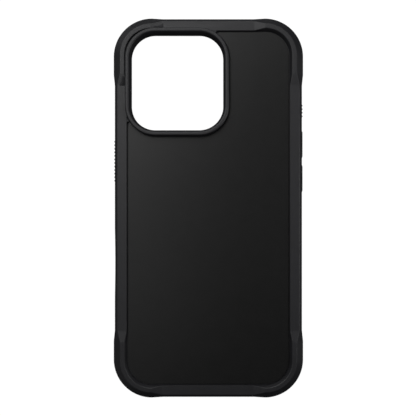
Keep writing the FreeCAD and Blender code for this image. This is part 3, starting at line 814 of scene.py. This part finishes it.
# thermoplastic elastomer, injection moulded: near-black with a cool cast and a satin skin
elastomer = moulded("elastomer_moulded", "#202023", "#1b1b1e", 0.5, 0.35, 0.008)
# polycarbonate, moulded in a finely eroded tool: neutral near-black, a broad soft sheen
polycarbonate = moulded("polycarbonate_fine_textured", "#151515", "#111111", 0.36, 0.45, 0.014, specular=0.42)
# the same resin from a plain tool: smoother, with a slight cool cast
tray_plastic = moulded("polycarbonate_plain_moulded", "#1c1c1f", "#17171a", 0.42, 0.6, 0.006)
# acetal, moulded: dark grey and waxy
acetal = moulded("acetal_moulded", "#3c3c40", "#343438", 0.35, 0.5, 0.004)
# microfibre, knitted and brushed: charcoal, no gloss, pale towards its edges as nap catches light
microfibre = moulded(
    "microfibre_brushed", "#333336", "#232326", 0.95, 0.25, 0.06, mottle_mm=3.0, specular=0.15, sheen=0.35
)
# urethane gel, cast: dark and slightly wet-looking
gel = moulded("urethane_gel_cast", "#2b2b30", "#222227", 0.28, 1.2, 0.01)
# silicone, moulded: pale grey, satin
silicone = moulded("silicone_moulded", "#8b8b8f", "#7f7f84", 0.5, 0.8, 0.006)
# acrylic adhesive film, die cut: milky
adhesive = moulded("acrylic_adhesive_die_cut", "#c6c4ba", "#b8b6ac", 0.4, 1.5, 0.004)
# nickel plate over sintered magnets: bright, faintly warm
nickel = metal("nickel_plated", "#c9c5be", 0.22, 0.4)
# cold rolled steel, stamped: grey with drawn-out rolling lines
steel = metal("steel_cold_rolled", "#b4b4b4", 0.35, 0.3)

# ------------------------------------------------------------------ pieces on their bodies


def paint(piece, material):
    """Gives a piece one finish all over."""
    piece.data.materials.clear()
    piece.data.materials.append(material)


def stand_for(piece, node, body, material):
    """Puts a piece on a body in place of a CAD node, with that node's finish."""
    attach(piece, body)
    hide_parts(node)
    paint(piece, material)


stand_for(make_bumper(), "bumper", "shell", elastomer)
stand_for(make_plate(), "back_plate", "shell", polycarbonate)

lining, lining_size, lining_area = make_lining()
stand_for(lining, "lining", "shell", microfibre)

for corner, across, along in (
    ("top_right", 1, 1),
    ("top_left", -1, 1),
    ("bottom_left", -1, -1),
    ("bottom_right", 1, -1),
):
    node = f"corner_cushion_{corner}"
    stand_for(make_cushion(corner, across, along), node, "shell", gel)

for name in BUTTONS:
    stand_for(make_cap(name), f"{name}_cap", f"{name}_button", elastomer)
    pad, anchor = make_return_pad(name)
    stand_for(pad, f"{name}_return_pad", "shell", silicone)
    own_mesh(pad)

kept_nodes = {
    "tray": tray_plastic,
    "plate_adhesive": adhesive,
    "magnet_yoke": steel,
    "magnet_ring": nickel,
    "alignment_magnet": nickel,
}
kept_nodes.update({f"{name}_plunger": acetal for name in BUTTONS})
for node, material in kept_nodes.items():
    paint(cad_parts[node], material)

# ------------------------------------------------------------------ floor, lights and camera


def make_stage():
    """A plain pale floor that the case lies on."""
    reach, drop = 3000.0, 0.02
    corners = placed(reach * np.array(((-1, -1), (1, -1), (1, 1), (-1, 1))), -drop)
    mesh = bpy.data.meshes.new("floor")
    mesh.from_pydata((corners * MM).tolist(), [], [(0, 1, 2, 3)])
    floor = bpy.data.objects.new("floor", mesh)
    bpy.context.scene.collection.objects.link(floor)
    material = bpy.data.materials.new("floor_paper")
    material.use_nodes = True
    shader = material.node_tree.nodes["Principled BSDF"]
    shader.inputs["Base Color"].default_value = (0.05, 0.05, 0.05, 1)
    shader.inputs["Roughness"].default_value = 0.9
    shader.inputs["Emission Color"].default_value = (1, 1, 1, 1)
    shader.inputs["Emission Strength"].default_value = 1.0
    mesh.materials.append(material)
    floor.visible_diffuse = False
    floor.visible_glossy = False


def soft_box(name, turn, height, distance, power):
    """
    A square soft box aimed at the case, half as wide as it is far away.

    turn and height are its bearing from +X and its angle above the floor, in degrees; distance
    is in millimetres and power in watts.
    """
    turn, height = math.radians(turn), math.radians(height)
    flat = math.cos(height)
    towards = Vector((flat * math.cos(turn), flat * math.sin(turn), math.sin(height)))
    data = bpy.data.lights.new(name, "AREA")
    data.shape = "SQUARE"
    data.size = distance * MM / 2
    data.energy = power
    light = bpy.data.objects.new(name, data)
    bpy.context.scene.collection.objects.link(light)
    light.location = towards * distance * MM
    light.rotation_euler = towards.to_track_quat("Z", "Y").to_euler()


make_stage()
soft_box("low_top", 90, 12, 700, 0.127)
soft_box("low_top_left", 135, 12, 700, 0.357)
soft_box("low_left", 180, 12, 700, 0.070)
soft_box("low_bottom_left", 225, 12, 700, 0.114)
soft_box("upper_right", 0, 52, 700, 0.093)
soft_box("upper_top", 90, 52, 700, 0.356)
soft_box("key", 135, 52, 700, 1.354)
soft_box("high_left", 180, 72, 700, 0.249)
soft_box("near_right", 0, 35, 320, 0.298)
soft_box("near_top", 90, 35, 320, 0.132)
soft_box("near_top_left", 135, 62, 320, 0.051)
soft_box("near_bottom_left", 225, 62, 320, 0.016)
world = bpy.data.worlds.new("studio")
bpy.context.scene.world = world
world.use_nodes = True
world.node_tree.nodes["Background"].inputs["Color"].default_value = (1, 1, 1, 1)
world.node_tree.nodes["Background"].inputs["Strength"].default_value = 0.02

camera_data = bpy.data.cameras.new("camera")
camera_data.lens = 50
camera_data.sensor_width = 36
camera = bpy.data.objects.new("camera", camera_data)
camera.location = (-0.164 * MM, 0.02 * MM, 247.9 * MM)
bpy.context.scene.collection.objects.link(camera)
bpy.context.scene.camera = camera
bpy.context.scene.view_settings.view_transform = "Standard"
